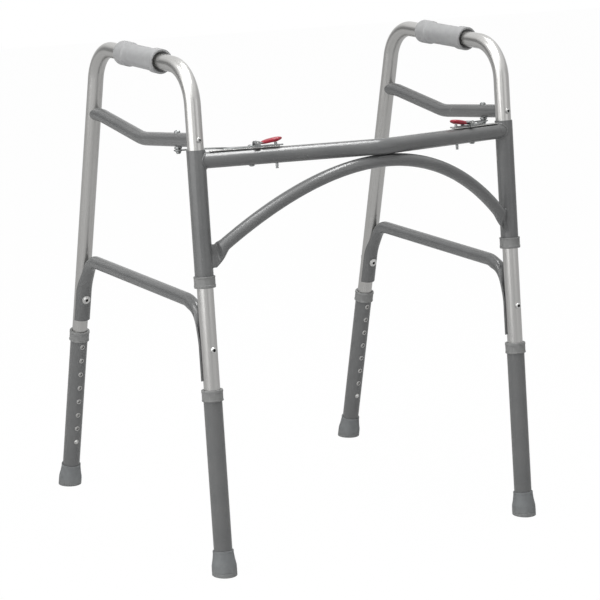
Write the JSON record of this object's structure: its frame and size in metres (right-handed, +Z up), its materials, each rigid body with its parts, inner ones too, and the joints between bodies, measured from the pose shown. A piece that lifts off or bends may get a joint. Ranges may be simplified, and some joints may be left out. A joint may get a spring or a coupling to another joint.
{
  "type": "walker",
  "caption": "Folding walker: two side frames with grips hinge on a bowed crossbar with an arch below it, a corner lock on each side and legs that adjust in length.",
  "frame": {"origin": "centre of the bounding box at floor level, with the side frames open and the legs at their shortest", "axes": "+X across the walker towards the right-hand side frame as seen from the front, +Y from the front towards the user, +Z up"},
  "size_m": [0.6136, 0.5872, 0.7948],
  "materials": {
    "aluminium": "satin, drawn tube, anodised",
    "grey_paint": "dark grey hammered enamel, fairly glossy",
    "grip": "light grey soft moulded grip",
    "grey_plastic": "grey moulded plastic",
    "grey_rubber": "grey rubber, matt",
    "steel": "bright plated steel",
    "red_vinyl": "red dipped vinyl, glossy"
  },
  "bodies": {
    "front_frame": {"crossbar": "grey_paint", "arch_brace": "grey_paint", "left_sleeve": "grey_paint", "left_sleeve_bush": "grey_plastic", "left_lock_bracket": "steel", "left_lock_rivet": "steel", "left_lever_pivot": "steel", "right_sleeve": "grey_paint", "right_sleeve_bush": "grey_plastic", "right_lock_bracket": "steel", "right_lock_rivet": "steel", "right_lever_pivot": "steel"},
    "left_side": {"left_side_tube": "aluminium", "left_grip": "grip", "left_upper_brace": "grey_paint", "left_upper_front_screw": "steel", "left_upper_rear_screw": "steel", "left_lower_brace": "grey_paint", "left_lower_front_bolt": "steel", "left_lower_rear_bolt": "steel", "left_link_bolt": "steel"},
    "left_link": {"left_lock_link": "grey_paint"},
    "left_lever": {"left_release_lever": "steel", "left_lever_tip": "red_vinyl"},
    "left_pin": {"left_lock_pin": "steel"},
    "left_front_foot": {"left_front_extension": "grey_paint", "left_front_collar": "grey_plastic", "left_front_tip": "grey_rubber"},
    "left_front_button": {"left_front_snap_button": "steel"},
    "left_rear_foot": {"left_rear_extension": "grey_paint", "left_rear_collar": "grey_plastic", "left_rear_tip": "grey_rubber"},
    "left_rear_button": {"left_rear_snap_button": "steel"},
    "right_side": {"right_side_tube": "aluminium", "right_grip": "grip", "right_upper_brace": "grey_paint", "right_upper_front_screw": "steel", "right_upper_rear_screw": "steel", "right_lower_brace": "grey_paint", "right_lower_front_bolt": "steel", "right_lower_rear_bolt": "steel", "right_link_bolt": "steel"},
    "right_link": {"right_lock_link": "grey_paint"},
    "right_lever": {"right_release_lever": "steel", "right_lever_tip": "red_vinyl"},
    "right_pin": {"right_lock_pin": "steel"},
    "right_front_foot": {"right_front_extension": "grey_paint", "right_front_collar": "grey_plastic", "right_front_tip": "grey_rubber"},
    "right_front_button": {"right_front_snap_button": "steel"},
    "right_rear_foot": {"right_rear_extension": "grey_paint", "right_rear_collar": "grey_plastic", "right_rear_tip": "grey_rubber"},
    "right_rear_button": {"right_rear_snap_button": "steel"}
  },
  "joints": [
    {"name": "left_fold", "type": "hinge", "parent": "front_frame", "child": "left_side", "pos_m": [-0.287, -0.19553, 0.6361], "axis": [0, -0.1219, -0.9925], "range_deg": [0, 86]},
    {"name": "left_link_turn", "type": "hinge", "parent": "front_frame", "child": "left_link", "pos_m": [-0.20507, -0.22016, 0.63912], "axis": [0, -0.1219, -0.9925], "range_deg": [0, 12]},
    {"name": "left_release", "type": "hinge", "parent": "front_frame", "child": "left_lever", "pos_m": [-0.19608, -0.2204, 0.6595], "axis": [0.2898, 0.95, -0.1166], "range_deg": [0, 7], "stiffness_Nm_per_rad": 0.3},
    {"name": "left_pin_drop", "type": "slide", "parent": "front_frame", "child": "left_pin", "axis": [0, -0.1219, -0.9925], "range_m": [0, 0.0038]},
    {"name": "left_front_height", "type": "slide", "parent": "left_side", "child": "left_front_foot", "axis": [0, -0.1219, -0.9925], "range_m": [0, 0.1778]},
    {"name": "left_front_press", "type": "slide", "parent": "left_side", "child": "left_front_button", "axis": [0, -0.9925, 0.1219], "range_m": [0, 0.0045], "stiffness_N_per_m": 900, "deforming": ["left_front_snap_button"]},
    {"name": "left_rear_height", "type": "slide", "parent": "left_side", "child": "left_rear_foot", "axis": [0, 0.1797, -0.9837], "range_m": [0, 0.1778]},
    {"name": "left_rear_press", "type": "slide", "parent": "left_side", "child": "left_rear_button", "axis": [0, 0.9837, 0.1797], "range_m": [0, 0.0045], "stiffness_N_per_m": 900, "deforming": ["left_rear_snap_button"]},
    {"name": "right_fold", "type": "hinge", "parent": "front_frame", "child": "right_side", "pos_m": [0.287, -0.19553, 0.6361], "axis": [0, 0.1219, 0.9925], "range_deg": [0, 68]},
    {"name": "right_link_turn", "type": "hinge", "parent": "front_frame", "child": "right_link", "pos_m": [0.20507, -0.22016, 0.63912], "axis": [0, 0.1219, 0.9925], "range_deg": [0, 12]},
    {"name": "right_release", "type": "hinge", "parent": "front_frame", "child": "right_lever", "pos_m": [0.19608, -0.2204, 0.6595], "axis": [0.2898, -0.95, 0.1166], "range_deg": [0, 7], "stiffness_Nm_per_rad": 0.3},
    {"name": "right_pin_drop", "type": "slide", "parent": "front_frame", "child": "right_pin", "axis": [0, -0.1219, -0.9925], "range_m": [0, 0.0038]},
    {"name": "right_front_height", "type": "slide", "parent": "right_side", "child": "right_front_foot", "axis": [0, -0.1219, -0.9925], "range_m": [0, 0.1778]},
    {"name": "right_front_press", "type": "slide", "parent": "right_side", "child": "right_front_button", "axis": [0, -0.9925, 0.1219], "range_m": [0, 0.0045], "stiffness_N_per_m": 900, "deforming": ["right_front_snap_button"]},
    {"name": "right_rear_height", "type": "slide", "parent": "right_side", "child": "right_rear_foot", "axis": [0, 0.1797, -0.9837], "range_m": [0, 0.1778]},
    {"name": "right_rear_press", "type": "slide", "parent": "right_side", "child": "right_rear_button", "axis": [0, 0.9837, 0.1797], "range_m": [0, 0.0045], "stiffness_N_per_m": 900, "deforming": ["right_rear_snap_button"]}
  ],
  "couplings": [
    {"joint": "left_link_turn", "follows": "left_fold", "ratio": 0.13636},
    {"joint": "left_pin_drop", "follows": "left_release", "m_per_rad": 0.0305},
    {"joint": "right_link_turn", "follows": "right_fold", "ratio": 0.13636},
    {"joint": "right_pin_drop", "follows": "right_release", "m_per_rad": 0.0305}
  ]
}
